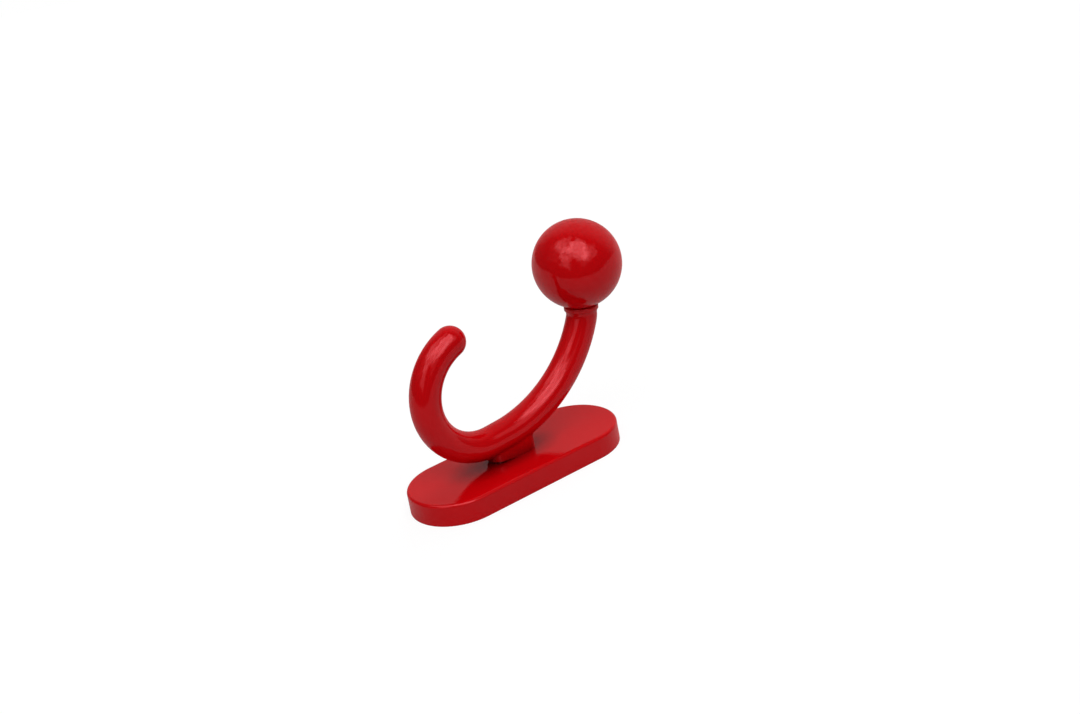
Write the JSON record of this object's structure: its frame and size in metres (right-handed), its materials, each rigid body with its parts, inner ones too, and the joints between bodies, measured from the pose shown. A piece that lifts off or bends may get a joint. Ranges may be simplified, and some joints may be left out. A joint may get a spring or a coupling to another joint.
{
  "type": "wall hook",
  "caption": "Red lacquered wall hook: an oblong plate, a round J-shaped hook and a long arm that ends in a ball knob.",
  "frame": {"origin": "middle of the base plate's flat back, which lies against the wall", "axes": "+X up the wall, from the J hook's side towards the ball; +Z away from the wall; y = 0 is the plane of symmetry"},
  "size_m": [0.1101, 0.0388, 0.0904],
  "materials": {
    "red_lacquer": "glossy red lacquer with slight orange peel",
    "plated_steel": "zinc-plated steel"
  },
  "bodies": {
    "root": {"base_plate": "red_lacquer", "hook_arm": "red_lacquer", "ball_knob": "red_lacquer", "ball_stud": "plated_steel", "arm_screws": "plated_steel"}
  },
  "joints": []
}
